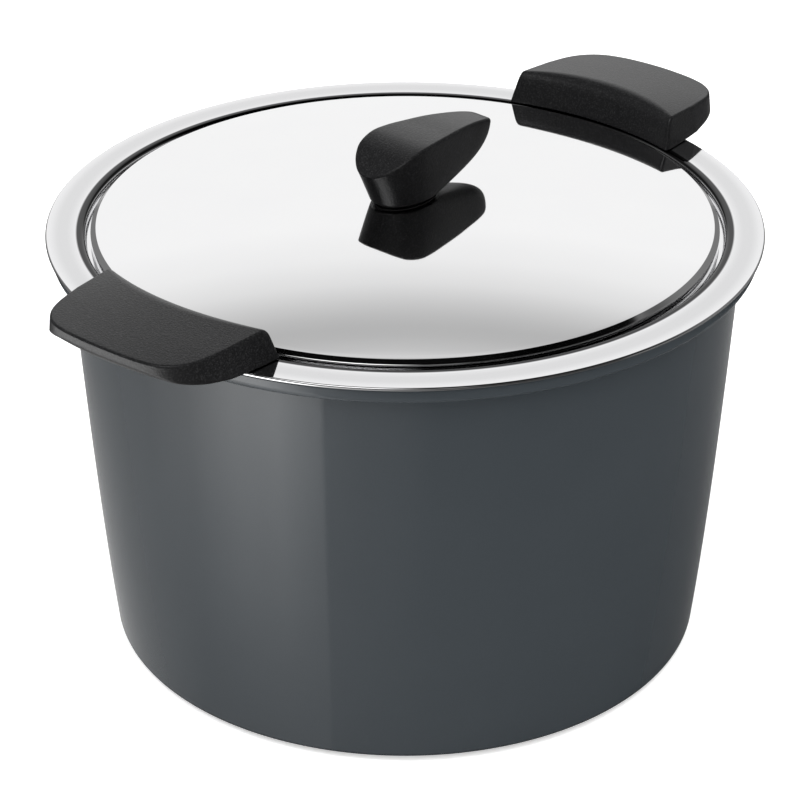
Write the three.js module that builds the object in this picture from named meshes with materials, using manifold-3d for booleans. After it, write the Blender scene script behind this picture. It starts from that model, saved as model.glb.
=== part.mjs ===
// A serving and warm-keeping pot: a polished steel pot hangs by its wide rim in an insulating
// moulded shell, with two grips on the rim and a double-walled domed lid set into the rim.
// Millimetres, +Z up. The origin is the centre of the foot ring's underside, on the table.
// The grips lie along X.

import * as THREE from "three";
import { mergeVertices } from "three/addons/utils/BufferGeometryUtils.js";
import Module from "manifold-3d";

const wasm = await Module();
wasm.setup();

// Driving dimensions of the whole pot

const rim_height = 163; // top of the steel rim above the table
const rim_radius = 131.5;
const seat_gap = 0.3; // running clearance between pieces that rest on each other
const overrun = 2; // how far a cutting solid runs past the face that it cuts
const full_turn = Math.PI * 2;

// Facets around the round pieces
const fine_facets = 48;
const plain_facets = 40;
const grip_facets = 120;
const screw_facets = 12;
const hex_sides = 6;

// Foot ring: a rubber ring pressed into a groove under the shell
const foot_proud = 1;
const foot_inset = 11.8; // from the foot of the shell's wall to the middle of the ring
const foot_width = 7;
const foot_height = 3;
const foot_chamfer = 0.6;

// Shell: moulded melamine with a thick lip that carries the steel rim
const shell_wall = 3.6;
const shell_floor = 4;
const shell_lip_inset = 1.5; // the lip's face stands this far inside the edge of the rim
const shell_lip_face = 2.8; // height of the lip's upright outer face
const shell_lip_depth = 5.6; // from the top of the lip to the wall below it
const shell_lip_overhang = 6.6; // the lip stands out by this much from the wall under it
const shell_taper = 11.6; // the wall comes in by this much from the lip to the table
const shell_base_fillet = 3;
const shell_edge = 0.6;
const shell_belly_share = 0.663; // where the wall's two tangents meet, down from the lip to the base
const shell_belly_taper = 5.6; // how far in they meet
const shell_inner_fillet = 9;
const base_recess = 0.8; // the middle of the underside stands this far clear
const base_recess_inset = 12; // from the middle of the foot ring

// Pot: deep-drawn steel with a flat rim and a stepped seat for the lid
const rim_sheet = 1.3;
const rim_roll = 3; // radius that the rim rolls over with into the lid's seat
const rim_edge = 0.5;
const rim_width = 14.3; // from the edge of the rim to the upright wall around the lid
const seat_depth = 4.5;
const pot_sheet = 1;
const ledge_width = 7.2; // the ledge that the lid stands on
const pot_taper = 5.5; // the wall comes in by this much from the ledge to the floor's fillet
const pot_fillet = 16;
const seat_roll = 1.8;
const air_gap = 9; // air under the pot

// Base: an aluminium disc held under the floor by a steel cap
const core_inset = 18.9; // from the foot of the pot's wall to the edge of the disc
const core_thickness = 5;
const cap_sheet = 0.8;
const cap_edge = 1.2;

// Lid: domed outer skin hemmed under the flange of a dished inner skin
const lid_sheet = 0.8;
const lid_crown = 9.5; // crown of the dome above the rim
const lid_clearance = 1.4; // around the lid in its seat
const lid_shoulder = 2.2; // width of the slanted shoulder around the dome
const lid_dome_edge = 1.2; // height of the dome's edge above the rim
const lid_shoulder_drop = 0.9; // from the dome's edge to the bead
const lid_bead = 0.6; // rounding of the outermost edge
const lid_hem = 2.6; // how far the hem reaches in under the inner skin
const inner_sheet = 0.6;
const inner_drop = 6.6; // from the inner skin's flange to its dished floor
const inner_flange = 6.8; // from the edge of the lid to the inner edge of the flange
const inner_slope = 5.4; // width of the sloping side between flange and floor
const inner_floor_rise = 2; // the floor climbs this much towards the middle
const inner_corner = 2.4;
const inner_ease = 0.7; // rise of the corner between the floor and its sloping side
const boss_foot_radius = 15;
const boss_top_radius = 8.5;

// Grips: moulded bars that follow the rim and stand out past it. Heights are above the rim.
const grip_setback = 0.2; // the foot of the inner face stands this far behind the seat's wall
const grip_lean_share = 0.32; // the inner face leans out by this share of its height
const grip_ease_height = 11.2; // from here up the edge to the top is eased
const grip_ease_share = 1.2; // how far the eased edge leans out, as a share of its height
const grip_crest_inset = 7.3; // inner edge of the top, from the rim's edge
const grip_crest = 13.9; // its height, in the middle of the grip
const grip_overhang = 27.1; // how far a grip stands out past the rim
const grip_outer_height = 10.8; // top edge of the outer face, in the middle of the grip
const grip_arch_radius = 420; // the top falls away towards both ends on this radius
const grip_under_rise = 7.3; // from the foot to the lower edge of the outer face
// Places on the underside from the rim's edge outwards, and the part of the rise reached there
const under_place_shares = [0.28, 0.54, 0.74, 0.87, 0.96, 1];
const under_rise_shares = [0.06, 0.2, 0.36, 0.5, 0.76, 1];
const grip_half_width = 39.5;
const grip_corner_radius = 26.1;
const grip_corner_offset = 1.4; // centre of the corners, from the rim's edge along X
const grip_flare = 1.8; // the ends spread by this much towards the overhang
const grip_taper_share = 0.08; // the crest is this much narrower than the foot
const grip_screw_spread = 19.5;
const grip_screw_inset = 6.6; // from the edge of the rim to the middle of a screw

// Screws, washers and threaded inserts of the grips
const screw_radius = 1.75;
const screw_head_radius = 3.2;
const screw_head_height = 2.4;
const screw_reach = 6.2; // how far the screw enters its insert
const screw_socket = 1.5;
const screw_socket_depth = 1.3;
const screw_clearance = 0.35;
const washer_radius = 3.6;
const washer_thickness = 0.8;
const insert_radius = 3.1;
const insert_length = 7.4;
const pocket_clearance = 0.6; // around and under a screw head in the shell's lip

// Knob: a leaf-shaped lever on an oval foot
const knob_turn = -4.2; // degrees that the knob is turned from the line of the grips
const knob_foot_length = 14.9; // half the oval's length
const knob_foot_width = 10.6; // half the oval's width
const knob_height = 23.7; // above the crown of the lid
const knob_back = 21; // from the foot's centre to the blunt end
const knob_tip = 44.3; // from the foot's centre to the tip
const knob_half_width = 13.3;
const knob_pad = 0.7; // thickness of the pad under the foot
const knob_pad_inset = 1.5;
// Places along the leaf as shares of its length, with the width and height there as shares
const leaf_place_shares = [
  0, 0.012, 0.045, 0.094, 0.159, 0.258, 0.364, 0.5, 0.636, 0.773, 0.879, 0.947, 0.986, 1,
];
const leaf_width_shares = [
  0, 0.3, 0.571, 0.797, 0.947, 1, 0.95, 0.835, 0.705, 0.56, 0.45, 0.335, 0.155, 0,
];
const leaf_height_shares = [
  0.61, 0.625, 0.69, 0.79, 0.897, 0.98, 1, 0.99, 0.971, 0.926, 0.872, 0.815, 0.73, 0.68,
];
const leaf_levels = 6;
// Bulge of the sides between foot and leaf, outwards and upwards, at the blunt end and the tip
const bulge_out_back_share = 0.4;
const bulge_out_tip_share = 0.95;
const bulge_up_back_share = 0.5;
const bulge_up_tip_share = 0.26;

// Fixing of the knob, from under the lid
const knob_screw_radius = 2;
const knob_screw_head_radius = 4;
const knob_screw_head_height = 2.6;
const knob_screw_reach = 8.4;
const knob_insert_radius = 3.5;
const knob_insert_length = 9.6;
const knob_washer_radius = 6;
const knob_washer_thickness = 1;
const lid_seal_radius = 6.6;
const lid_seal_thickness = 1.2;

// Heights that follow from the sizes above

const shell_base = foot_proud;
const shell_inside = shell_base + shell_floor;
const shell_top = rim_height - rim_sheet - seat_gap;
const cap_bottom = shell_inside + air_gap;
const core_bottom = cap_bottom + cap_sheet + seat_gap;
const pot_under = core_bottom + core_thickness + seat_gap;
const pot_floor = pot_under + pot_sheet;
const ledge = rim_height - seat_depth;
const crown = rim_height + lid_crown;
const hem_bottom = ledge + seat_gap;
const flange_bottom = hem_bottom + lid_sheet + seat_gap;
const boss_top = crown - lid_sheet - seat_gap;
const pad_bottom = crown + seat_gap;
const knob_foot = pad_bottom + knob_pad + seat_gap;

// Radii that follow from the sizes above

const seat_radius = rim_radius - rim_width;
const shell_lip_radius = rim_radius - shell_lip_inset;
const shell_top_radius = shell_lip_radius - shell_lip_overhang;
const shell_belly_radius = shell_top_radius - shell_belly_taper;
const shell_base_radius = shell_top_radius - shell_taper;
const foot_radius = shell_base_radius - foot_inset;
const base_recess_radius = foot_radius - base_recess_inset;
const pot_top_radius = seat_radius - ledge_width;
const pot_base_radius = pot_top_radius - pot_taper;
const core_radius = pot_base_radius - core_inset;
const lid_radius = seat_radius - lid_clearance;
const lid_dome_radius = lid_radius - lid_shoulder;
const inner_flange_radius = lid_radius - inner_flange;
const inner_floor_radius = inner_flange_radius - inner_slope;
const grip_inner_radius = seat_radius + grip_setback;
const grip_crest_radius = rim_radius - grip_crest_inset;
const grip_outer_radius = rim_radius + grip_overhang;
const grip_corner_place = rim_radius + grip_corner_offset;
const grip_screw_radius = rim_radius - grip_screw_inset;
const screw_circle_angle = Math.asin(grip_screw_spread / grip_screw_radius);

// Finishes
const melamine = { color: 0x41474b, roughness: 0.25, metalness: 0 };
const rubber = { color: 0x1b1b1c, roughness: 0.85, metalness: 0 };
const mirror_steel = { color: 0xd8d9da, roughness: 0.08, metalness: 1 };
const satin_steel = { color: 0xb9babb, roughness: 0.3, metalness: 1 };
const cast_aluminium = { color: 0xa9abad, roughness: 0.45, metalness: 1 };
const phenolic = { color: 0x262627, roughness: 0.6, metalness: 0 };
const brass = { color: 0xb5923f, roughness: 0.35, metalness: 1 };
const silicone = { color: 0x2a2a2a, roughness: 0.7, metalness: 0 };

// Geometry helpers

// Keeps only positions, merges shared corners and drops the triangles that collapse.
function welded(geometry) {
  const bare = geometry.clone();
  bare.deleteAttribute("normal");
  bare.deleteAttribute("uv");
  const merged = mergeVertices(bare);
  const corners = merged.index.array;
  const kept = [];
  for (let i = 0; i < corners.length; i += 3) {
    const [a, b, c] = [corners[i], corners[i + 1], corners[i + 2]];
    if (a !== b && b !== c && c !== a) kept.push(a, b, c);
  }
  merged.setIndex(kept);
  return merged;
}

function solid_of(geometry) {
  const merged = welded(geometry);
  return new wasm.Manifold(
    new wasm.Mesh({
      numProp: 3,
      vertProperties: new Float32Array(merged.attributes.position.array),
      triVerts: new Uint32Array(merged.index.array),
    }),
  );
}

function geometry_of(solid) {
  const mesh = solid.getMesh();
  const geometry = new THREE.BufferGeometry();
  geometry.setAttribute("position", new THREE.BufferAttribute(mesh.vertProperties, 3));
  geometry.setIndex(new THREE.BufferAttribute(mesh.triVerts, 1));
  geometry.computeVertexNormals();
  return geometry;
}

// Turns an outline of [radius, height] pairs about Z. It runs anticlockwise, from the axis
// back to the axis, or closes on itself.
function turned(outline, facets) {
  const points = outline.map(([r, z]) => new THREE.Vector2(r, z));
  const on_axis = points[0].x === 0 && points[points.length - 1].x === 0;
  if (!on_axis) points.push(points[0].clone());
  return welded(new THREE.LatheGeometry(points, facets).rotateX(Math.PI / 2));
}

// Points on an arc of a circle about [r, z], from one angle to another, in degrees.
function arc([r, z], radius, from, to, steps) {
  return Array.from({ length: steps + 1 }, (_, i) => {
    const angle = THREE.MathUtils.degToRad(from + ((to - from) * i) / steps);
    return [r + radius * Math.cos(angle), z + radius * Math.sin(angle)];
  });
}

function cylinder(radius, bottom, top, facets) {
  return turned(
    [
      [0, bottom],
      [radius, bottom],
      [radius, top],
      [0, top],
    ],
    facets,
  );
}

function ring(inner, outer, bottom, top, facets) {
  return turned(
    [
      [inner, bottom],
      [outer, bottom],
      [outer, top],
      [inner, top],
    ],
    facets,
  );
}

const pot = new THREE.Group();

function add(name, geometry, finish, parent = pot) {
  const mesh = new THREE.Mesh(geometry, new THREE.MeshStandardMaterial(finish));
  mesh.name = name;
  parent.add(mesh);
  return mesh;
}

// Where the four grip screws stand, from the right grip round to the left
const screw_places = [
  ["right_front", -screw_circle_angle],
  ["right_back", screw_circle_angle],
  ["left_back", Math.PI - screw_circle_angle],
  ["left_front", Math.PI + screw_circle_angle],
].map(([name, angle]) => ({
  name,
  x: grip_screw_radius * Math.cos(angle),
  y: grip_screw_radius * Math.sin(angle),
}));

// Shell

// The outside of the wall bellies in towards the base: one smooth curve from lip to fillet.
function shell_wall_points(inset, top, bottom, steps) {
  const upper = shell_top - shell_lip_depth;
  const curve = new THREE.QuadraticBezierCurve(
    new THREE.Vector2(shell_top_radius, upper),
    new THREE.Vector2(shell_belly_radius, upper + (shell_base - upper) * shell_belly_share),
    new THREE.Vector2(shell_base_radius, shell_base),
  );
  const shares = Array.from({ length: steps + 1 }, (_, i) => i / steps);
  const points = shares.map((share) => curve.getPoint(share)).map((p) => [p.x - inset, p.y]);
  return points.filter(([, z]) => z < top && z > bottom);
}

function shell_solid() {
  const lip_bottom = shell_top - shell_lip_depth;
  const groove_in = foot_radius - foot_width / 2 - seat_gap;
  const groove_out = foot_radius + foot_width / 2 + seat_gap;
  const groove_top = foot_height + seat_gap;
  const lip_round = shell_lip_depth - shell_lip_face;
  const base_wall = shell_base_radius - shell_base_fillet;
  const outside = [
    ...arc([base_wall, shell_base + shell_base_fillet], shell_base_fillet, -90, -4, 3),
    ...shell_wall_points(0, lip_bottom, shell_base + shell_base_fillet + overrun, 8).reverse(),
    [shell_top_radius, lip_bottom],
    ...arc([shell_lip_radius - lip_round, shell_top - shell_lip_face], lip_round, -60, 0, 2),
    ...arc([shell_lip_radius - shell_edge, shell_top - shell_edge], shell_edge, 0, 90, 2),
  ];
  const inner_base = shell_base_radius - shell_wall;
  const inside = [
    [shell_top_radius - shell_wall, shell_top],
    ...shell_wall_points(shell_wall, shell_top, shell_inside + shell_inner_fillet, 5),
    ...arc(
      [inner_base - shell_inner_fillet, shell_inside + shell_inner_fillet],
      shell_inner_fillet,
      0,
      -90,
      3,
    ),
  ];
  const underside = [
    [0, shell_base + base_recess],
    [base_recess_radius, shell_base + base_recess],
    [base_recess_radius + base_recess, shell_base],
    [groove_in, shell_base],
    [groove_in, groove_top],
    [groove_out, groove_top],
    [groove_out, shell_base],
  ];
  const body = turned([...underside, ...outside, ...inside, [0, shell_inside]], fine_facets);
  // pockets in the top of the lip, for the heads of the grip screws
  const pocket_depth = washer_thickness + seat_gap + screw_head_height + pocket_clearance;
  const pocket = cylinder(
    washer_radius + pocket_clearance,
    shell_top - pocket_depth,
    shell_top + overrun,
    screw_facets,
  );
  return screw_places.reduce(
    (left, place) => left.subtract(solid_of(pocket.clone().translate(place.x, place.y, 0))),
    solid_of(body),
  );
}

add("outer_shell", geometry_of(shell_solid()), melamine);

const foot_in = foot_radius - foot_width / 2;
const foot_out = foot_radius + foot_width / 2;
add(
  "foot_ring",
  turned(
    [
      [foot_in + foot_chamfer, 0],
      [foot_out - foot_chamfer, 0],
      [foot_out, foot_chamfer],
      [foot_out, foot_height],
      [foot_in, foot_height],
      [foot_in, foot_chamfer],
    ],
    plain_facets,
  ),
  rubber,
);

// Pot

function pot_solid() {
  const outer_seat = seat_radius + pot_sheet;
  const under_rim = rim_height - rim_sheet;
  const under_ledge = ledge - pot_sheet;
  const knee = pot_top_radius + seat_roll;
  const floor_round = pot_base_radius - pot_fillet;
  const outline = [
    [0, pot_under],
    // outside: floor, fillet, wall, step under the lid's seat, underside of the rim
    ...arc([floor_round, pot_under + pot_fillet + pot_sheet], pot_fillet + pot_sheet, -90, -2, 4),
    [pot_top_radius + pot_sheet, under_ledge - seat_roll],
    [knee, under_ledge],
    [outer_seat, under_ledge],
    [outer_seat, under_rim - rim_sheet],
    [outer_seat + rim_sheet, under_rim],
    ...arc([rim_radius - rim_edge, under_rim + rim_edge], rim_edge, -90, 0, 2),
    ...arc([rim_radius - rim_edge, rim_height - rim_edge], rim_edge, 0, 90, 2),
    // rim rolls over into the lid's seat
    ...arc([seat_radius + rim_roll, rim_height - rim_roll], rim_roll, 90, 180, 3),
    [seat_radius, ledge],
    [knee, ledge],
    [pot_top_radius, ledge - seat_roll],
    ...arc([floor_round, pot_floor + pot_fillet], pot_fillet, -2, -90, 4),
    [0, pot_floor],
  ];
  const hole = cylinder(
    screw_radius + screw_clearance,
    under_rim - overrun,
    rim_height + overrun,
    screw_facets,
  );
  return screw_places.reduce(
    (left, place) => left.subtract(solid_of(hole.clone().translate(place.x, place.y, 0))),
    solid_of(turned(outline, fine_facets)),
  );
}

add("pot_body", geometry_of(pot_solid()), mirror_steel);

add(
  "base_core",
  cylinder(core_radius, core_bottom, core_bottom + core_thickness, plain_facets),
  cast_aluminium,
);

const cap_inner = core_radius + seat_gap;
const cap_outer = cap_inner + cap_sheet;
add(
  "base_cap",
  turned(
    [
      [0, cap_bottom],
      ...arc([cap_outer - cap_edge, cap_bottom + cap_edge], cap_edge, -90, 0, 3),
      [cap_outer, pot_under - seat_gap],
      [cap_inner, pot_under - seat_gap],
      [cap_inner, core_bottom - seat_gap],
      [0, core_bottom - seat_gap],
    ],
    plain_facets,
  ),
  satin_steel,
);

// Grips

// The section of a grip turned about the pot's axis: a flat foot on the rim, an underside that
// climbs past the rim, an upright outer face, and a leaning inner face with an eased top edge.
function grip_ring() {
  const under = under_place_shares.map((share, i) => [
    rim_radius + grip_overhang * share,
    seat_gap + grip_under_rise * under_rise_shares[i],
  ]);
  const top = grip_crest + overrun;
  const ease_foot = grip_inner_radius + grip_ease_height * grip_lean_share;
  const outline = [
    [grip_inner_radius, seat_gap],
    [rim_radius, seat_gap],
    ...under,
    [grip_outer_radius, top],
    [ease_foot + (top - grip_ease_height) * grip_ease_share, top],
    [ease_foot, grip_ease_height],
  ];
  return turned(outline, grip_facets).translate(0, 0, rim_height);
}

// Plan of a grip: ends that spread slightly and round off into the overhang.
function grip_block() {
  const plan = new THREE.Shape();
  const near = Math.sqrt(grip_inner_radius ** 2 - grip_half_width ** 2) - overrun;
  const bend = grip_half_width - grip_corner_radius;
  plan.moveTo(near, grip_flare - grip_half_width);
  plan.lineTo(grip_corner_place, -grip_half_width);
  plan.absarc(grip_corner_place, -bend, grip_corner_radius, -Math.PI / 2, 0, false);
  plan.absarc(grip_corner_place, bend, grip_corner_radius, 0, Math.PI / 2, false);
  plan.lineTo(near, grip_half_width - grip_flare);
  const block = new THREE.ExtrudeGeometry(plan, {
    depth: grip_crest + overrun,
    bevelEnabled: false,
    curveSegments: 7,
    steps: 1,
  });
  const at = block.attributes.position;
  for (let i = 0; i < at.count; i++) {
    at.setY(i, at.getY(i) * (1 - (grip_taper_share * at.getZ(i)) / grip_crest));
  }
  return block.translate(0, 0, rim_height);
}

// Everything under the grip's top: an arch from end to end that falls gently outwards.
function grip_arch() {
  const half = grip_half_width + overrun;
  const turn = Math.asin(half / grip_arch_radius);
  const side = new THREE.Shape();
  side.moveTo(-half, -(grip_crest + half));
  side.lineTo(half, -(grip_crest + half));
  side.absarc(
    0,
    -grip_arch_radius,
    grip_arch_radius,
    Math.PI / 2 - turn,
    Math.PI / 2 + turn,
    false,
  );
  const reach = grip_outer_radius - grip_inner_radius;
  const arch = new THREE.ExtrudeGeometry(side, {
    depth: reach + reach,
    bevelEnabled: false,
    curveSegments: 8,
    steps: 1,
  }).translate(0, 0, -reach);
  const along = new THREE.Vector3(1, 0, 0);
  const across = new THREE.Vector3(0, 1, 0);
  const up = new THREE.Vector3(0, 0, 1);
  const fall = Math.atan2(grip_crest - grip_outer_height, grip_outer_radius - grip_crest_radius);
  return arch
    .applyMatrix4(new THREE.Matrix4().makeBasis(across, up, along))
    .rotateY(fall)
    .translate(grip_crest_radius, 0, rim_height + grip_crest);
}

const insert_bottom = rim_height + seat_gap;

function grip_geometry() {
  const bore = cylinder(
    insert_radius + seat_gap,
    insert_bottom - overrun,
    insert_bottom + insert_length + seat_gap,
    screw_facets,
  );
  const body = solid_of(grip_ring())
    .intersect(solid_of(grip_block()))
    .intersect(solid_of(grip_arch()));
  const bored = screw_places
    .slice(0, 2)
    .reduce((left, p) => left.subtract(solid_of(bore.clone().translate(p.x, p.y, 0))), body);
  return geometry_of(bored);
}

const right_grip = grip_geometry();
add("handle_right", right_grip, phenolic);
add("handle_left", right_grip.clone().rotateZ(Math.PI), phenolic);

// Screws with a hexagonal socket, their washers, and the brass inserts that they enter

function socket_screw(shank, head, head_height, head_bottom, top, socket) {
  const body = turned(
    [
      [0, head_bottom],
      [head - seat_gap, head_bottom],
      [head, head_bottom + seat_gap],
      [head, head_bottom + head_height],
      [shank, head_bottom + head_height],
      [shank, top - seat_gap],
      [shank - seat_gap, top],
      [0, top],
    ],
    screw_facets,
  );
  const key = cylinder(socket, head_bottom - overrun, head_bottom + screw_socket_depth, hex_sides);
  return geometry_of(solid_of(body).subtract(solid_of(key)));
}

const washer_top = rim_height - rim_sheet - seat_gap;
const washer_bottom = washer_top - washer_thickness;
const head_top = washer_bottom - seat_gap;

for (const { name, x, y } of screw_places) {
  const screw = socket_screw(
    screw_radius,
    screw_head_radius,
    screw_head_height,
    head_top - screw_head_height,
    insert_bottom + screw_reach,
    screw_socket,
  );
  add("handle_screw_" + name, screw.translate(x, y, 0), satin_steel);
  const bore = screw_radius + screw_clearance;
  const washer = ring(bore, washer_radius, washer_bottom, washer_top, screw_facets);
  add("handle_washer_" + name, washer.translate(x, y, 0), satin_steel);
  const insert = ring(
    bore,
    insert_radius,
    insert_bottom,
    insert_bottom + insert_length,
    screw_facets,
  );
  add("handle_insert_" + name, insert.translate(x, y, 0), brass);
}

// Lid

const dome_sag = lid_crown - lid_dome_edge;
const dome_sphere = (lid_dome_radius ** 2 + dome_sag ** 2) / (2 * dome_sag);

// Height of the dome's outer face at a radius, or of its inner face with an inset.
function dome_height(radius, inset = 0) {
  return crown - dome_sphere + Math.sqrt((dome_sphere - inset) ** 2 - radius ** 2);
}

function dome_points(outermost, inset, steps) {
  return Array.from({ length: steps + 1 }, (_, i) => {
    const radius = (outermost * i) / steps;
    return [radius, dome_height(radius, inset)];
  });
}

const knob_hole = knob_screw_radius + screw_clearance;

function outer_skin() {
  const bead = rim_height + lid_dome_edge - lid_shoulder_drop;
  const inner_wall = lid_radius - lid_sheet;
  const outline = [
    [knob_hole, dome_height(knob_hole, lid_sheet)],
    ...dome_points(lid_dome_radius - lid_sheet, lid_sheet, 4).slice(1),
    [inner_wall, bead - lid_sheet],
    [inner_wall, hem_bottom + lid_sheet],
    [inner_wall - lid_hem, hem_bottom + lid_sheet],
    [inner_wall - lid_hem, hem_bottom],
    [lid_radius - lid_bead, hem_bottom],
    [lid_radius, hem_bottom + lid_bead],
    [lid_radius, bead - lid_bead],
    [lid_radius - lid_bead, bead],
    ...dome_points(lid_dome_radius, 0, 5).slice(1).reverse(),
    [knob_hole, dome_height(knob_hole)],
  ];
  return turned(outline, fine_facets);
}

add("lid_outer_skin", outer_skin(), mirror_steel);

function inner_skin() {
  const flange_out = lid_radius - lid_sheet - seat_gap;
  const flange_top = flange_bottom + inner_sheet;
  const floor_edge = flange_bottom - inner_drop;
  const floor_middle = floor_edge + inner_floor_rise;
  const midway = (boss_foot_radius + inner_floor_radius) / 2;
  const floor_midway = (floor_middle + floor_edge) / 2;
  const outline = [
    [knob_hole, boss_top - inner_sheet],
    [boss_top_radius - inner_sheet, boss_top - inner_sheet],
    [boss_foot_radius - inner_sheet, floor_middle],
    [midway, floor_midway],
    [inner_floor_radius - inner_corner, floor_edge],
    [inner_floor_radius, floor_edge + inner_ease],
    [inner_flange_radius, flange_bottom],
    [flange_out, flange_bottom],
    [flange_out, flange_top],
    [inner_flange_radius - inner_sheet, flange_top],
    [inner_floor_radius - inner_sheet, floor_edge + inner_ease + inner_sheet],
    [inner_floor_radius - inner_corner, floor_edge + inner_sheet],
    [midway, floor_midway + inner_sheet],
    [boss_foot_radius, floor_middle + inner_sheet],
    [boss_top_radius, boss_top],
    [knob_hole, boss_top],
  ];
  return turned(outline, plain_facets);
}

add("lid_inner_skin", inner_skin(), satin_steel);

const seal_top = boss_top - inner_sheet - seat_gap;
const seal_bottom = seal_top - lid_seal_thickness;
add(
  "lid_seal",
  ring(knob_hole, lid_seal_radius, seal_bottom, seal_top, screw_facets),
  silicone,
);

const knob_washer_top = seal_bottom - seat_gap;
const knob_washer_bottom = knob_washer_top - knob_washer_thickness;
add(
  "knob_washer",
  ring(knob_hole, knob_washer_radius, knob_washer_bottom, knob_washer_top, screw_facets),
  satin_steel,
);

const knob_head_top = knob_washer_bottom - seat_gap;
add(
  "knob_screw",
  socket_screw(
    knob_screw_radius,
    knob_screw_head_radius,
    knob_screw_head_height,
    knob_head_top - knob_screw_head_height,
    knob_foot + knob_screw_reach,
    screw_socket,
  ),
  satin_steel,
);

// Knob

// Rings of points from the oval foot to the sharp edge of the leaf, and the two sides of the
// leaf joined straight across for the top.
function knob_geometry() {
  const length = knob_back + knob_tip;
  const last = leaf_place_shares.length - 1;
  // round the leaf: along one side from the blunt end to the tip, and back along the other
  const sides = [];
  for (let i = 0; i <= last; i++) sides.push([i, 1]);
  for (let i = last - 1; i > 0; i--) sides.push([i, -1]);
  const edge = sides.map(([i, side]) => {
    return new THREE.Vector3(
      leaf_place_shares[i] * length - knob_back,
      side * knob_half_width * leaf_width_shares[i],
      crown + knob_height * leaf_height_shares[i],
    );
  });
  const foot = edge.map((_, k) => {
    const [i, side] = sides[k];
    const angle = Math.PI - (Math.PI * i) / last;
    return new THREE.Vector3(
      knob_foot_length * Math.cos(angle),
      side * knob_foot_width * Math.sin(angle),
      knob_foot,
    );
  });
  const positions = [];
  const count = edge.length;
  for (let level = 0; level <= leaf_levels; level++) {
    const up = level / leaf_levels;
    edge.forEach((top, k) => {
      const low = foot[k];
      const along = sides[k][0] / last;
      const out = THREE.MathUtils.lerp(bulge_out_back_share, bulge_out_tip_share, along);
      const rise = THREE.MathUtils.lerp(bulge_up_back_share, bulge_up_tip_share, along);
      const middle = new THREE.Vector3(
        THREE.MathUtils.lerp(low.x, top.x, out),
        THREE.MathUtils.lerp(low.y, top.y, out),
        THREE.MathUtils.lerp(low.z, top.z, rise),
      );
      const point = new THREE.QuadraticBezierCurve3(low, middle, top).getPoint(up);
      positions.push(point.x, point.y, point.z);
    });
  }
  const faces = [];
  for (let level = 0; level < leaf_levels; level++) {
    for (let k = 0; k < count; k++) {
      const next = (k + 1) % count;
      const [a, b] = [level * count + k, level * count + next];
      faces.push(a, a + count, b, b, a + count, b + count);
    }
  }
  const foot_centre = positions.length / 3;
  positions.push(0, 0, knob_foot);
  for (let k = 0; k < count; k++) faces.push(foot_centre, k, (k + 1) % count);
  const first = leaf_levels * count;
  const other = (i) => first + ((count - i) % count);
  for (let i = 0; i < last; i++) {
    const [a, b] = [first + i, first + i + 1];
    const [c, d] = [other(i), other(i + 1)];
    if (a !== c) faces.push(a, c, b);
    if (b !== d) faces.push(b, c, d);
  }
  const geometry = new THREE.BufferGeometry();
  geometry.setAttribute("position", new THREE.Float32BufferAttribute(positions, 3));
  geometry.setIndex(faces);
  const bore = cylinder(
    knob_insert_radius + seat_gap,
    knob_foot - overrun,
    knob_foot + knob_insert_length + seat_gap,
    screw_facets,
  );
  return geometry_of(solid_of(geometry).subtract(solid_of(bore)));
}

const knob_group = new THREE.Group();
knob_group.rotation.z = THREE.MathUtils.degToRad(knob_turn);
pot.add(knob_group);
add("knob", knob_geometry(), phenolic, knob_group);

const pad_plan = new THREE.Shape();
pad_plan.absellipse(
  0,
  0,
  knob_foot_length - knob_pad_inset,
  knob_foot_width - knob_pad_inset,
  0,
  full_turn,
  false,
);
const pad_bore = new THREE.Path();
pad_bore.absarc(0, 0, knob_hole, 0, full_turn, true);
pad_plan.holes.push(pad_bore);
const pad = welded(
  new THREE.ExtrudeGeometry(pad_plan, {
    depth: knob_pad,
    bevelEnabled: false,
    curveSegments: 7,
  }).translate(0, 0, pad_bottom),
);
add("knob_pad", pad, silicone, knob_group);

add(
  "knob_insert",
  ring(knob_hole, knob_insert_radius, knob_foot, knob_foot + knob_insert_length, screw_facets),
  brass,
);

export default pot;
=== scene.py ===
import math

import bmesh
import bpy
import numpy as np
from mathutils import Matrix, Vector


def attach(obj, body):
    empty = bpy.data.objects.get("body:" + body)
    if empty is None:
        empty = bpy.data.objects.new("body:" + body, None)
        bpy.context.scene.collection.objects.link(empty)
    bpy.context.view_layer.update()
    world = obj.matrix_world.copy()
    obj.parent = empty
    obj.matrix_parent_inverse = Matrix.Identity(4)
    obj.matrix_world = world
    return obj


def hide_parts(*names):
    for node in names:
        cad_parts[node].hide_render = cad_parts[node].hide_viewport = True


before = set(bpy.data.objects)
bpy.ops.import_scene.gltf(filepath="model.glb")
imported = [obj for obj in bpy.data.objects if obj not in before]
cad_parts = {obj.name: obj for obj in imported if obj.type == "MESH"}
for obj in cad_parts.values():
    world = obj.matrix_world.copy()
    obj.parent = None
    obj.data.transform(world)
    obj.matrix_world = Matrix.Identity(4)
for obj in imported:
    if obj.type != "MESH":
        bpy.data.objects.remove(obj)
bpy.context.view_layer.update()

# Camera
#
# A long lens looks down on the pot from beside the left grip, as in the photograph.


def placed(name, data):
    """A new object in the scene."""
    made = bpy.data.objects.new(name, data)
    bpy.context.scene.collection.objects.link(made)
    return made


lens = bpy.data.cameras.new("studio_camera")
lens.lens = 133.24
lens.sensor_width = 36
camera = placed("studio_camera", lens)
camera.location = (-0.7676, -0.6397, 0.6300)
camera.rotation_euler = (math.radians(61.40), 0, math.radians(-50.19))
bpy.context.scene.camera = camera


# Outer shell
#
# The insulating outer pot that the steel pot hangs in: slate grey melamine resin, pressed
# in a polished mould, with a thick rounded lip. Four pockets in the lip clear the heads of
# the grip screws.

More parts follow.
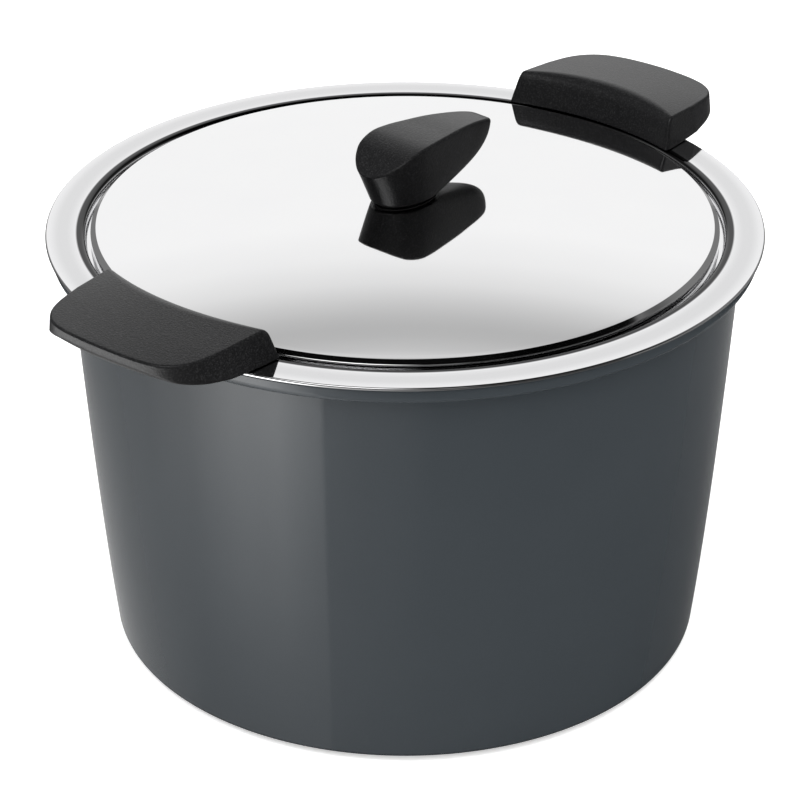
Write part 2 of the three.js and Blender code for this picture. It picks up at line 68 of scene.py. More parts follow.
def linear(shade):
    """A colour written as an sRGB hex value, as the linear values that a shader takes."""
    parts = [int(shade[k : k + 2], 16) / 255 for k in (1, 3, 5)]
    return [c / 12.92 if c <= 0.04045 else ((c + 0.055) / 1.055) ** 2.4 for c in parts] + [1]


def put(tree, kind, inputs=(), **settings):
    """Adds a node with its settings; inputs gives a value or another node's socket by name."""
    made = tree.nodes.new(kind)
    for name, value in settings.items():
        setattr(made, name, value)
    for name, value in dict(inputs).items():
        if isinstance(value, bpy.types.NodeSocket):
            tree.links.new(value, made.inputs[name])
        else:
            made.inputs[name].default_value = value
    return made


def blank(name):
    """A new material with no nodes, and its tree."""
    made = bpy.data.materials.new(name)
    made.use_nodes = True
    made.node_tree.nodes.clear()
    return made, made.node_tree


def melamine_finish():
    """Glossy moulded melamine: even slate grey with a hard shine and a trace of flow marks."""
    made, tree = blank("glossy slate melamine")
    place = put(tree, "ShaderNodeTexCoord").outputs["Object"]
    # resin flow, in patches of about 30 mm, and filler specks of about 0.5 mm
    flow = put(tree, "ShaderNodeTexNoise", {"Vector": place, "Scale": 33, "Detail": 3}).outputs["Fac"]
    speck = put(tree, "ShaderNodeTexNoise", {"Vector": place, "Scale": 2000, "Detail": 1}).outputs["Fac"]
    slate = put(
        tree, "ShaderNodeMix", {0: flow, 6: linear("#373c40"), 7: linear("#3c4145")}, data_type="RGBA"
    ).outputs[2]
    specked = put(
        tree, "ShaderNodeMix", {0: speck, 6: slate, 7: linear("#3e4347")}, data_type="RGBA"
    ).outputs[2]
    shine = put(tree, "ShaderNodeMapRange", {"Value": flow, "To Min": 0.05, "To Max": 0.09}).outputs[0]
    # the skin of the moulding waves by a few micrometres over 6 mm
    peel = put(tree, "ShaderNodeTexNoise", {"Vector": place, "Scale": 165, "Detail": 1}).outputs["Fac"]
    skin = put(tree, "ShaderNodeBump", {"Height": peel, "Strength": 0.12, "Distance": 0.0001}).outputs[0]
    resin = put(
        tree,
        "ShaderNodeBsdfPrincipled",
        {"Base Color": specked, "Roughness": shine, "Normal": skin, "IOR": 1.5},
    ).outputs[0]
    put(tree, "ShaderNodeOutputMaterial", {"Surface": resin})
    return made


def eased(outline, closed=False):
    """Rounds the corners that are given as (r, z, radius); plain points stay. Millimetres."""
    points = [Vector(p[:2]) for p in outline]
    made = []
    for i, corner in enumerate(outline):
        at = points[i]
        back = points[i - 1] - at
        ahead = points[(i + 1) % len(points)] - at
        if len(corner) < 3 or (not closed and i in (0, len(points) - 1)):
            made.append(at)
            continue
        turn = math.pi - back.angle(ahead)
        reach = min(corner[2] * math.tan(turn / 2), 0.45 * back.length, 0.45 * ahead.length)
        back_way, ahead_way = back.normalized(), ahead.normalized()
        radius = reach / math.tan(turn / 2)
        centre = at + (back_way + ahead_way).normalized() * radius / math.cos(turn / 2)
        start, end = at + back_way * reach - centre, at + ahead_way * reach - centre
        # a point on the flat beside each fillet keeps the flat's shading flat
        made.append(centre + start + back_way * min(0.3, 0.1 * back.length))
        steps = max(3, round(math.degrees(turn) / 11))
        for k in range(steps + 1):
            near, far = math.sin(turn * (1 - k / steps)), math.sin(turn * k / steps)
            made.append(centre + (start * near + end * far) / math.sin(turn))
        made.append(centre + end + ahead_way * min(0.3, 0.1 * ahead.length))
    return made + made[:1] if closed else made


def new_tree(name, floats, **sockets):
    """A Geometry Nodes tree with named inputs for its sizes, and the sockets of these."""
    tree = bpy.data.node_groups.new(name, "GeometryNodeTree")
    sockets.update({label: "Float" for label in floats}, Finish="Material")
    for label, kind in sockets.items():
        tree.interface.new_socket(label, in_out="INPUT", socket_type="NodeSocket" + kind)
    tree.interface.new_socket("Piece", in_out="OUTPUT", socket_type="NodeSocketGeometry")
    return tree, put(tree, "NodeGroupInput").outputs


def hand_out(tree, shape, finish):
    """Ends a tree: its shape becomes real mesh in its finish."""
    real = put(tree, "GeometryNodeRealizeInstances", {0: shape}).outputs[0]
    painted = put(tree, "GeometryNodeSetMaterial", {"Geometry": real, "Material": finish})
    put(tree, "NodeGroupOutput", {"Piece": painted.outputs[0]})
    return tree


def turning_tree():
    """Geometry Nodes that turn a section about the pot's axis, with a thread where asked."""
    thread = ("Thread radius", "Thread depth", "Thread pitch")
    tree, given = new_tree("Turned section", thread, Section="Geometry", Segments="Int")
    size = put(
        tree, "GeometryNodeAttributeDomainSize", {0: given["Section"]}, component="MESH"
    ).outputs["Point Count"]
    columns = put(tree, "ShaderNodeMath", {0: given["Segments"], 1: 1}, operation="ADD").outputs[0]
    sheet = put(
        tree, "GeometryNodeMeshGrid", {"Vertices X": size, "Vertices Y": columns}
    ).outputs["Mesh"]
    index = put(tree, "GeometryNodeInputIndex").outputs[0]
    part = put(tree, "ShaderNodeMath", {0: index, 1: columns}, operation="DIVIDE").outputs[0]
    row = put(tree, "ShaderNodeMath", {0: part}, operation="FLOOR").outputs[0]
    column = put(tree, "ShaderNodeMath", {0: index, 1: columns}, operation="MODULO").outputs[0]
    share = put(tree, "ShaderNodeMath", {0: column, 1: given["Segments"]}, operation="DIVIDE").outputs[0]
    angle = put(tree, "ShaderNodeMath", {0: share, 1: -math.tau}, operation="MULTIPLY").outputs[0]
    here = put(tree, "GeometryNodeInputPosition").outputs[0]
    drawn = put(
        tree,
        "GeometryNodeSampleIndex",
        {"Geometry": given["Section"], "Value": here, "Index": row},
        data_type="FLOAT_VECTOR",
    ).outputs[0]
    axes = put(tree, "ShaderNodeSeparateXYZ", {0: drawn}).outputs
    # the thread is a V that runs round once for each pitch
    climb = put(
        tree, "ShaderNodeMath", {0: axes["Z"], 1: given["Thread pitch"]}, operation="DIVIDE"
    ).outputs[0]
    phase = put(tree, "ShaderNodeMath", {0: climb, 1: share}, operation="ADD").outputs[0]
    wave = put(tree, "ShaderNodeMath", {0: phase, 1: 0.5}, operation="PINGPONG").outputs[0]
    depth = put(
        tree, "ShaderNodeMath", {0: wave, 1: given["Thread depth"]}, operation="MULTIPLY"
    ).outputs[0]
    on_crest = put(
        tree, "ShaderNodeMath", {0: axes["X"], 1: given["Thread radius"], 2: 1e-5}, operation="COMPARE"
    ).outputs[0]
    cut_in = put(tree, "ShaderNodeMath", {0: depth, 1: on_crest}, operation="MULTIPLY").outputs[0]
    reach = put(tree, "ShaderNodeMath", {0: axes["X"], 1: cut_in}, operation="SUBTRACT").outputs[0]
    point = put(tree, "ShaderNodeCombineXYZ", {"X": reach, "Z": axes["Z"]}).outputs[0]
    swung = put(
        tree, "ShaderNodeVectorRotate", {"Vector": point, "Angle": angle}, rotation_type="Z_AXIS"
    ).outputs[0]
    shaped = put(tree, "GeometryNodeSetPosition", {"Geometry": sheet, "Position": swung}).outputs[0]
    closed = put(tree, "GeometryNodeMergeByDistance", {"Geometry": shaped, "Distance": 2e-6}).outputs[0]
    smooth = put(tree, "GeometryNodeSetShadeSmooth", {"Geometry": closed}).outputs[0]
    return hand_out(tree, smooth, given["Finish"])


turning = turning_tree()


def baked(piece):
    """Makes what the piece's modifiers give its own plain mesh, with its creases sharp."""
    graph = bpy.context.evaluated_depsgraph_get()
    piece.data = bpy.data.meshes.new_from_object(piece.evaluated_get(graph))
    piece.modifiers.clear()
    if piece.data.materials and not piece.data.materials[0]:
        piece.data.materials.pop(index=0)
    piece.data.set_sharp_from_angle(angle=math.radians(32))
    return piece


def grown(name, mesh, tree, values):
    """An object whose mesh is what a Geometry Nodes tree makes of another mesh."""
    piece = placed(name, mesh)
    nodes = piece.modifiers.new(tree.name, "NODES")
    nodes.node_group = tree
    for socket in tree.interface.items_tree:
        if socket.name in values:
            nodes[socket.identifier] = values[socket.name]
    return baked(piece)


def turned(name, outline, finish, segments=256, closed=False, **thread):
    """A piece turned about Z from its section in millimetres."""
    section = bpy.data.meshes.new(name)
    section.from_pydata([(r / 1000, 0, z / 1000) for r, z in eased(outline, closed)], [], [])
    values = {"Segments": segments, "Finish": finish, "Thread pitch": 1.0}
    values.update({label.replace("_", " ").capitalize(): v for label, v in thread.items()})
    return grown(name, section, turning, values)


def fixing_tree():
    """Geometry Nodes that set one small piece at each of the four screw places."""
    tree, given = new_tree("Four fixings", ("Along", "Across"), Fixing="Geometry", Seed="Int")
    places = put(
        tree,
        "GeometryNodeMeshGrid",
        {"Size X": given["Along"], "Size Y": given["Across"], "Vertices X": 2, "Vertices Y": 2},
    ).outputs["Mesh"]
    # a screw stops at any angle when it is tight
    turn = put(
        tree,
        "FunctionNodeRandomValue",
        {"Min": (0, 0, 0), "Max": (0, 0, math.tau), "Seed": given["Seed"]},
        data_type="FLOAT_VECTOR",
    ).outputs[0]
    copies = put(
        tree,
        "GeometryNodeInstanceOnPoints",
        {"Points": places, "Instance": given["Fixing"], "Rotation": turn},
    ).outputs[0]
    return hand_out(tree, copies, given["Finish"])


fixing = fixing_tree()
screw_along, screw_across = 0.246738, 0.039


def fixed(name, single, finish):
    """Four copies of a small piece, at the screw places of the two grips."""
    mesh = single.data
    bpy.data.objects.remove(single)
    values = {"Along": screw_along, "Across": screw_across, "Seed": 7, "Finish": finish}
    return grown(name, mesh, fixing, values)


def cut(piece, tool):
    """Takes the tool's shape out of the piece, and then the tool away."""
    knife = piece.modifiers.new("Cut", "BOOLEAN")
    knife.object = tool
    knife.solver = "EXACT"
    baked(piece)
    bpy.data.objects.remove(tool)


def finish_piece(piece, body, slot, *nodes):
    """Lets a piece ride on its body in the place of CAD nodes."""
    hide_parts(*nodes)
    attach(piece, body)


melamine = melamine_finish()
wall_top = Vector((123.4, 155.8))
wall_middle = Vector((117.8, 53.2))
wall_foot = Vector((111.8, 1))
wall = 3.6
floor_low, floor_top = 1.8, 5
groove_in, groove_out, groove_top = 96.2, 103.8, 3.3
lip_in, lip_out, lip_top = 119.8, 130, 161.4


def wall_curve(thickness, lowest):
    """The wall bellies in towards the table on one smooth curve; a thickness inside it."""
    made = []
    for k in range(61):
        t = k / 60
        at = wall_top * (1 - t) ** 2 + wall_middle * 2 * t * (1 - t) + wall_foot * t * t
        if lowest < at.y < 151:
            made.append((at.x - thickness, at.y))
    return made


shell = turned(
    "melamine_shell",
    [
        (0, floor_low),
        (88, floor_low, 0.5),
        (88.8, wall_foot.y, 0.5),
        (groove_in, wall_foot.y, 0.3),
        (groove_in, groove_top, 0.2),
        (groove_out, groove_top, 0.2),
        (groove_out, wall_foot.y, 0.3),
        (*wall_foot, 3),
        *reversed(wall_curve(0, 9)),
        (*wall_top, 1.2),
        (lip_out, wall_top.y, 2.8),
        (lip_out, lip_top, 0.7),
        (lip_in, lip_top, 0.9),
        *wall_curve(wall, 24),
        (108.5, floor_top, 9),
        (0, floor_top),
    ],
    melamine,
    segments=320,
)
pocket = turned("pocket", [(0, 157.3), (4.2, 157.3, 0.5), (4.2, 163), (0, 163)], melamine, 40)
cut(shell, fixed("pockets", pocket, melamine))
finish_piece(shell, "shell", "melamine", "outer_shell")

# Foot ring
#
# A rubber ring with two shallow grooves, pressed into the groove under the shell, so that
# the pot stands firm and doesn't mark the table.


def rubber_finish(name, shade, worn, grain):
    """Moulded rubber or silicone: dull and matt; grain is in specks for each metre."""
    made, tree = blank(name)
    place = put(tree, "ShaderNodeTexCoord").outputs["Object"]
    fine = put(tree, "ShaderNodeTexNoise", {"Vector": place, "Scale": grain, "Detail": 3}).outputs["Fac"]
    tone = put(
        tree, "ShaderNodeMix", {0: fine, 6: linear(shade), 7: linear(worn)}, data_type="RGBA"
    ).outputs[2]
    matt = put(tree, "ShaderNodeMapRange", {"Value": fine, "To Min": 0.65, "To Max": 0.85}).outputs[0]
    skin = put(tree, "ShaderNodeBump", {"Height": fine, "Strength": 0.3, "Distance": 0.00004}).outputs[0]
    body = put(
        tree,
        "ShaderNodeBsdfPrincipled",
        {"Base Color": tone, "Roughness": matt, "Normal": skin, "IOR": 1.45},
    ).outputs[0]
    put(tree, "ShaderNodeOutputMaterial", {"Surface": body})
    return made


def grooves(middles, steps, rounding):
    """The same groove at several radii; each step is (r from the groove's middle, z)."""
    return [(middle + r, z, rounding) for middle in middles for r, z in steps]


rubber = rubber_finish("matt black rubber", "#161617", "#262626", grain=1500)
foot_in, foot_out, foot_top = 96.5, 103.5, 3
foot = turned(
    "rubber_foot",
    [
        (foot_in, 0, 0.6),
        *grooves((98.9, 101.1), ((-0.5, 0), (-0.3, 0.5), (0.3, 0.5), (0.5, 0)), 0.1),
        (foot_out, 0, 0.6),
        (foot_out, foot_top, 0.3),
        (foot_in, foot_top, 0.3),
    ],
    rubber,
    segments=192,
    closed=True,
)
finish_piece(foot, "shell", "foot_rubber", "foot_ring")

# Pot
#
# The pot is deep-drawn from stainless steel. Its wide rim is rolled down into a stepped
# seat for the lid and polished like a mirror; below the seat it is brushed satin.


def round_axis(tree):
    """The place on a piece, its radius and height, and these two as one vector."""
    place = put(tree, "ShaderNodeTexCoord").outputs["Object"]
    axes = put(tree, "ShaderNodeSeparateXYZ", {0: place}).outputs
    flat = put(tree, "ShaderNodeCombineXYZ", {"X": axes["X"], "Y": axes["Y"]}).outputs[0]
    radius = put(tree, "ShaderNodeVectorMath", {0: flat}, operation="LENGTH").outputs["Value"]
    section = put(tree, "ShaderNodeCombineXYZ", {"X": radius, "Y": axes["Z"]}).outputs[0]
    return place, radius, axes["Z"], section


def pot_finish():
    """Polished steel from the seat up, circular brushing below it, inside and outside."""
    made, tree = blank("polished and brushed steel")
    place, radius, height, section = round_axis(tree)
    # brush lines run round the pot, drawn 0.25 mm wide, which is coarse enough to show
    brush = put(
        tree, "ShaderNodeTexNoise", {"Vector": section, "Scale": 4000, "Detail": 2}
    ).outputs["Fac"]
    below = put(
        tree, "ShaderNodeMapRange", {"Value": height, "From Min": 0.1584, "From Max": 0.158}
    ).outputs[0]
    satin = put(tree, "ShaderNodeMapRange", {"Value": brush, "To Min": 0.2, "To Max": 0.42}).outputs[0]
    # finger smears on the polished rim, about 15 mm across
    smear = put(tree, "ShaderNodeTexNoise", {"Vector": place, "Scale": 65, "Detail": 4}).outputs["Fac"]
    mirror = put(
        tree, "ShaderNodeMapRange", {"Value": smear, "To Min": 0.03, "To Max": 0.075}
    ).outputs[0]
    rough = put(tree, "ShaderNodeMix", {0: below, 2: mirror, 3: satin}).outputs[0]
    strength = put(
        tree, "ShaderNodeMapRange", {"Value": below, "To Min": 0.015, "To Max": 0.25}
    ).outputs[0]
    lines = put(
        tree, "ShaderNodeBump", {"Height": brush, "Strength": strength, "Distance": 0.00002}
    ).outputs[0]
    # the wheel polishes the middle of the rim less than its edges
    off = put(tree, "ShaderNodeMath", {0: radius, 1: 0.1252}, operation="SUBTRACT").outputs[0]
    from_middle = put(tree, "ShaderNodeMath", {0: off}, operation="ABSOLUTE").outputs[0]
    worked = put(
        tree,
        "ShaderNodeMapRange",
        {"Value": from_middle, "From Min": 0.001, "From Max": 0.006},
        interpolation_type="SMOOTHSTEP",
    ).outputs[0]
    rim = put(
        tree, "ShaderNodeMix", {0: worked, 6: linear("#d9d9da"), 7: linear("#ebebec")}, data_type="RGBA"
    ).outputs[2]
    # painted shade: the rolled inner edge is coloured dark, for the dark line of shade and dark
    # reflection where the lid sits in the seat
    beside = put(tree, "ShaderNodeMath", {0: radius, 1: 0.1188}, operation="SUBTRACT").outputs[0]
    from_roll = put(tree, "ShaderNodeMath", {0: beside}, operation="ABSOLUTE").outputs[0]
    painted_shade_mask = put(
        tree, "ShaderNodeMapRange", {"Value": from_roll, "From Min": 0.0018, "From Max": 0.0012}
    ).outputs[0]
    corner = put(
        tree, "ShaderNodeMix", {0: painted_shade_mask, 6: rim, 7: linear("#2c2c2d")}, data_type="RGBA"
    ).outputs[2]
    tone = put(
        tree, "ShaderNodeMix", {0: below, 6: corner, 7: linear("#d6d6d6")}, data_type="RGBA"
    ).outputs[2]
    steel = put(
        tree,
        "ShaderNodeBsdfPrincipled",
        {"Base Color": tone, "Metallic": 1, "Roughness": rough, "Normal": lines},
    ).outputs[0]
    put(tree, "ShaderNodeOutputMaterial", {"Surface": steel})
    return made


pot_steel = pot_finish()
sheet = 1
pot_low = 20.4
seat_radius, seat_height = 117, 158.5
rim_radius, rim_low, rim_top = 131.5, 161.7, 163
pot = turned(
    "steel_pot",
    [
        (0, pot_low),
        (104.7, pot_low, 17),
        (111.1, seat_height - sheet, 1.6),
        (seat_radius + sheet, seat_height - sheet, 0.9),
        (seat_radius + sheet, rim_low, 1.3),
        (rim_radius, rim_low, 0.6),
        (rim_radius, rim_top, 1.05),
        (seat_radius, rim_top, 3),
        (seat_radius, seat_height, 0.7),
        (110, seat_height, 1.8),
        (103.7, pot_low + sheet, 16),
        (0, pot_low + sheet),
    ],
    pot_steel,
    segments=320,
)
screw_hole = 2.1
hole = [(0, 160), (screw_hole, 160), (screw_hole, 165), (0, 165)]
drill = turned("drill", hole, pot_steel, 32)
cut(pot, fixed("drills", drill, pot_steel))
finish_piece(pot, "pot", "mirror_steel", "pot_body")

# Base
#
# An aluminium disc under the pot's floor spreads the heat. A satin steel cap with pressed
# rings is brazed over it.


def brushed_finish(name, shade, dark, grit, low, high):
    """Metal brushed round the axis; grit is in lines for each metre, low and high are how
    rough it is."""
    made, tree = blank(name)
    place, _, _, section = round_axis(tree)
    brush = put(
        tree, "ShaderNodeTexNoise", {"Vector": section, "Scale": grit, "Detail": 3}
    ).outputs["Fac"]
    # handling leaves darker patches of about 11 mm
    cloud = put(tree, "ShaderNodeTexNoise", {"Vector": place, "Scale": 90, "Detail": 2}).outputs["Fac"]
    tone = put(
        tree, "ShaderNodeMix", {0: cloud, 6: linear(dark), 7: linear(shade)}, data_type="RGBA"
    ).outputs[2]
    rough = put(tree, "ShaderNodeMapRange", {"Value": brush, "To Min": low, "To Max": high}).outputs[0]
    lines = put(
        tree, "ShaderNodeBump", {"Height": brush, "Strength": 0.25, "Distance": 0.00002}
    ).outputs[0]
    metal = put(
        tree,
        "ShaderNodeBsdfPrincipled",
        {"Base Color": tone, "Metallic": 1, "Roughness": rough, "Normal": lines},
    ).outputs[0]
    put(tree, "ShaderNodeOutputMaterial", {"Surface": metal})
    return made


satin_steel = brushed_finish(
    "satin brushed steel", "#d4d4d3", "#c6c6c6", grit=4000, low=0.22, high=0.42
)
aluminium = brushed_finish(
    "turned aluminium", "#cfd1d3", "#bfc1c3", grit=2500, low=0.35, high=0.5
)
disc_radius, disc_low, disc_high = 85.6, 15.1, 20.1
section = [(disc_radius, disc_low, 0.4), (disc_radius, disc_high, 0.4)]
disc = turned("base_disc", [(0, disc_low), *section, (0, disc_high)], aluminium, 160)
finish_piece(disc, "pot", "core_aluminium", "base_core")
cap_in, cap_out, cap_low, cap_floor = 85.9, 86.7, 14, 14.8
pressed = 14.25
cover = turned(
    "base_cover",
    [
        (0, 14.3),
        (12, 14.3, 0.3),
        (12.6, cap_low, 0.3),
        *grooves((41, 71), ((-1.6, cap_low), (-1, pressed), (1, pressed), (1.6, cap_low)), 0.3),
        (cap_out, cap_low, 1.2),
        (cap_out, disc_high, 0.2),
        (cap_in, disc_high, 0.2),
        (cap_in, cap_floor, 0.4),
        (0, cap_floor),
    ],
    satin_steel,
    segments=192,
)
finish_piece(cover, "pot", "satin_steel", "base_cap")

# Grips
#
# Two grips of black phenolic resin, pressed in a mould with a fine sparked grain. Each
# follows the rim on the inside, arches over its length and thins out past the rim. It is
# held by two screws from under the rim.


def phenolic_finish():
    """Matt black phenolic resin that glints a little on the grain of its mould, with painted glints on
    the tops of the grain.
    """
    made, tree = blank("grained black phenolic resin")
    place = put(tree, "ShaderNodeTexCoord").outputs["Object"]
    # the grain is drawn 0.6 mm across, which is coarse enough to show
    grain = put(
        tree, "ShaderNodeTexNoise", {"Vector": place, "Scale": 1600, "Detail": 2, "Roughness": 0.7}
    ).outputs["Fac"]
    pits = put(tree, "ShaderNodeTexVoronoi", {"Vector": place, "Scale": 1300}).outputs["Distance"]
    depth = put(tree, "ShaderNodeMath", {0: grain, 1: pits}, operation="ADD").outputs[0]
    skin = put(tree, "ShaderNodeBump", {"Height": depth, "Strength": 0.4, "Distance": 0.0001}).outputs[0]
    # painted glints: the tops of the grain are coloured a little lighter
    painted_glint_mask = put(tree, "ShaderNodeMapRange", {"Value": grain, "From Min": 0.5, "From Max": 0.75}).outputs[0]
    black = put(
        tree, "ShaderNodeMix", {0: painted_glint_mask, 6: linear("#171718"), 7: linear("#303031")}, data_type="RGBA"
    ).outputs[2]
    matt = put(tree, "ShaderNodeMapRange", {"Value": grain, "To Min": 0.38, "To Max": 0.28}).outputs[0]
    resin = put(
        tree,
        "ShaderNodeBsdfPrincipled",
        {"Base Color": black, "Roughness": matt, "Normal": skin, "IOR": 1.39},
    ).outputs[0]
    put(tree, "ShaderNodeOutputMaterial", {"Surface": resin})
    return made


phenolic = phenolic_finish()
# heights of a grip are above the rim; its foot stands this far clear of it
grip_foot = 0.3
grip_height = 13.9
grip_reach = 158.6
corner_middle, corner_radius = (139.4, 18.2), 17.8
grip_end = (132.9, 37.4)


def grip_top(x, y):
    """The top arches over the grip's length, most at its inner edge, and falls outwards."""
    bow = np.interp(x, [118, 140], [290, 440])
    arch = np.sqrt(bow**2 - y**2) - bow
    fall = math.atan2(3.1, 34.4)
    return grip_height - (x - 124.2) * math.tan(fall) + arch / math.cos(fall)


# how the underside climbs from the rim's edge to the grip's edge, evened out
under_at = np.linspace(-0.3, 1.3, 321)
under_places = [0, 0.28, 0.54, 0.74, 0.87, 0.96, 1]
under_raw = np.interp(under_at, under_places, [0, 0.06, 0.2, 0.36, 0.5, 0.76, 1])
under_mix = np.exp(-((under_at[:, None] - under_at) ** 2) / (2 * 0.02**2))
under_rise = under_mix @ under_raw / under_mix.sum(1)


def grip_under(x, y):
    """The underside is flat on the rim and climbs past it."""
    share = (np.hypot(x, y) - rim_radius) / (grip_reach - rim_radius)
    return grip_foot + 7.3 * np.interp(share, under_at, under_rise)


def inner_face(z):
    """Radius of the inner face, which leans out and then rolls over into the top."""
    return 117.2 + 0.26 * z + 1.1 * 0.7 * np.logaddexp(0, (z - 11) / 0.7)


def smoothing(points, width, closed):
    """A matrix that evens out a line of points over a width in millimetres."""
    steps = np.hypot(*np.diff(np.vstack([points, points[:1]]), axis=0).T)
    along = np.concatenate([[0], np.cumsum(steps)[:-1]])
    whole = steps.sum()
    gap = np.abs(along[:, None] - along)
    if closed:
        gap = np.minimum(gap, whole - gap)
        weight = (steps + np.roll(steps, 1)) / 2
    else:
        weight = np.gradient(along)
        edge = np.minimum(along, along[-1] - along)
        width = np.minimum(width, edge / 2.5 + 1e-6)[:, None]
    mix = np.exp(-(gap**2) / (2 * width**2)) * weight
    return mix / mix.sum(1, keepdims=True)


def outer_plan():
    """The outer edge in plan: ends with wide round corners that run into an arc."""
    angle = np.linspace(0, math.radians(78), 500)
    corner = corner_middle + corner_radius * np.stack([np.cos(angle), np.sin(angle)], 1)
    corner = corner[np.hypot(*corner.T) <= grip_reach]
    sweep = np.linspace(0, math.atan2(corner[0, 1], corner[0, 0]), 500, endpoint=False)
    arc = grip_reach * np.stack([np.cos(sweep), np.sin(sweep)], 1)
    half = np.vstack([arc, corner, [grip_end]])
    whole = np.vstack([half[:0:-1] * (1, -1), half])
    along = np.concatenate([[0], np.cumsum(np.hypot(*np.diff(whole, axis=0).T))])
    even = np.linspace(0, along[-1], 400)
    even = np.stack([np.interp(even, along, whole[:, k]) for k in (0, 1)], 1)
    return smoothing(even, 2.6, False) @ even


outer_edge = outer_plan()
# the rows of points lie close together near the edges; these places are in millimetres
close_in = np.array([0, 0.3, 0.62, 1.0, 1.6, 2.6])
length_places = np.concatenate(
    [close_in / 38 - 1, np.linspace(-0.9, 0.9, 61), 1 - close_in[::-1] / 38]
)
cross_places = np.concatenate([close_in / 25, np.linspace(0.15, 1, 23)])


def grip_plan(t, m, z):
    """Plan position at a share of the length and a share of the width, at a height."""
    taper = 1 - 0.06 * z / grip_height
    inner_y = t * 38.6 * taper
    inner_x = np.sqrt(inner_face(z) ** 2 - inner_y**2)
    place = (t + 1) / 2 * (len(outer_edge) - 1)
    steps = np.arange(len(outer_edge))
    outer_x, outer_y = (np.interp(place, steps, outer_edge[:, k]) for k in (0, 1))
    return inner_x + m * (outer_x - inner_x), inner_y + m * (outer_y * taper - inner_y)


def inset(flat, by):
    """A plan that runs anticlockwise, drawn in by a distance."""
    way = np.roll(flat, -1, 0) - np.roll(flat, 1, 0)
    way /= np.hypot(*way.T)[:, None]
    return flat - np.stack([way[:, 1], -way[:, 0]], 1) * np.reshape(by, (-1, 1))


def rounded(low, corner, high, steps):
    """Rings that lead from one ring to another round the corner ring between them."""
    shares = np.linspace(0, 1, steps)
    return [low * (1 - s) ** 2 + corner * 2 * s * (1 - s) + high * s * s for s in shares]


def grip_points():
    """The grip's skin as rings from the foot to the top, and its two capped faces."""
    last_t, last_m = len(length_places) - 1, len(cross_places) - 1
    edge = [(k, last_m) for k in range(last_t)]
    edge += [(last_t, m) for m in range(last_m, 0, -1)]
    edge += [(k, 0) for k in range(last_t, 0, -1)]
    edge += [(0, m) for m in range(last_m)]
    ks, ms = np.array(edge).T
    t, m = length_places[ks], cross_places[ms]
    loop = np.stack(grip_plan(t, m, np.full(len(t), 6.0)), 1)
    # the inner corners are rounded off more than the rest
    corners = loop[(ms == 0) & ((ks == 0) | (ks == last_t))]
    near = np.min([np.hypot(*(loop - corner).T) for corner in corners], axis=0)
    even = smoothing(loop, 0.3 + np.exp(-((near / 3) ** 2))[:, None], True)

    def ring(z):
        return even @ np.stack(grip_plan(t, m, z), 1)

    def settled(height, start):
        z = np.full(len(t), float(start))
        for _ in range(8):
            z = height(*ring(z).T)
        return z

    inside = np.where(ms == 0, 1 - t**2, 0)
    top_z, foot_z = settled(grip_top, 13), settled(grip_under, 1)
    drop, lift = 0.8 + 0.5 * inside, 0.35 + 0.25 * (m > 0.5)
    foot_in, top_in = inset(ring(foot_z), lift), inset(ring(top_z), 0.9 + 1.9 * inside)
    foot_edge = np.column_stack([foot_in, grip_under(*foot_in.T)])
    top_edge = np.column_stack([top_in, grip_top(*top_in.T)])
    low, high = foot_z + lift, top_z - drop
    rings = rounded(
        foot_edge,
        np.column_stack([ring(foot_z), foot_z]),
        np.column_stack([ring(low), low]),
        5,
    )
    for share in np.linspace(0, 1, 19)[1:-1]:
        z = low + (high - low) * share
        rings.append(np.column_stack([ring(z), z]))
    rings += rounded(
        np.column_stack([ring(high), high]),
        np.column_stack([ring(top_z), top_z]),
        top_edge,
        9,
    )
    faces = []
    for border, height in ((foot_edge, grip_under), (top_edge, grip_top)):
        flat = np.zeros((last_t + 1, last_m + 1, 2))
        flat[ks, ms] = border[:, :2]
        a = ((length_places + 1) / 2)[:, None, None]
        b = cross_places[None, :, None]
        blend = (1 - a) * flat[:1] + a * flat[-1:] + (1 - b) * flat[:, :1] + b * flat[:, -1:]
        blend -= (1 - a) * (1 - b) * flat[0, 0] + a * (1 - b) * flat[-1, 0]
        blend -= (1 - a) * b * flat[0, -1] + a * b * flat[-1, -1]
        blend[ks, ms] = border[:, :2]
        faces.append(np.dstack([blend, height(blend[..., 0], blend[..., 1])]))
    return np.array(rings), faces


def grid(rows, columns, first=0):
    """The faces of a grid of points, each as the numbers of its four corners."""
    corners = [first + i * columns + k for i in range(rows - 1) for k in range(columns - 1)]
    return [(a, a + 1, a + columns + 1, a + columns) for a in corners]


def skinned(name, rings, patches, finish):
    """A closed piece from rings of points, lowest first, and the patches that cap them."""
    points, quads = [], []
    levels, count = rings.shape[:2]
    points.extend(rings.reshape(-1, 3))
    for i in range(levels - 1):
        for k in range(count):
            n = (k + 1) % count
            quads.append((i * count + k, i * count + n, (i + 1) * count + n, (i + 1) * count + k))
    for patch, up in patches:
        cap = grid(*patch.shape[:2], first=len(points))
        points.extend(patch.reshape(-1, 3))
        quads.extend(cap if up else [quad[::-1] for quad in cap])
    mesh = bpy.data.meshes.new(name)
    mesh.from_pydata((np.array(points) / 1000).tolist(), [], quads)
    mesh.materials.append(finish)
    shape = bmesh.new()
    shape.from_mesh(mesh)
    bmesh.ops.remove_doubles(shape, verts=shape.verts, dist=2e-6)
    bmesh.ops.dissolve_degenerate(shape, edges=shape.edges, dist=1e-7)
    shape.to_mesh(mesh)
    shape.free()
    mesh.shade_smooth()
    mesh.set_sharp_from_angle(angle=math.radians(32))
    return placed(name, mesh)


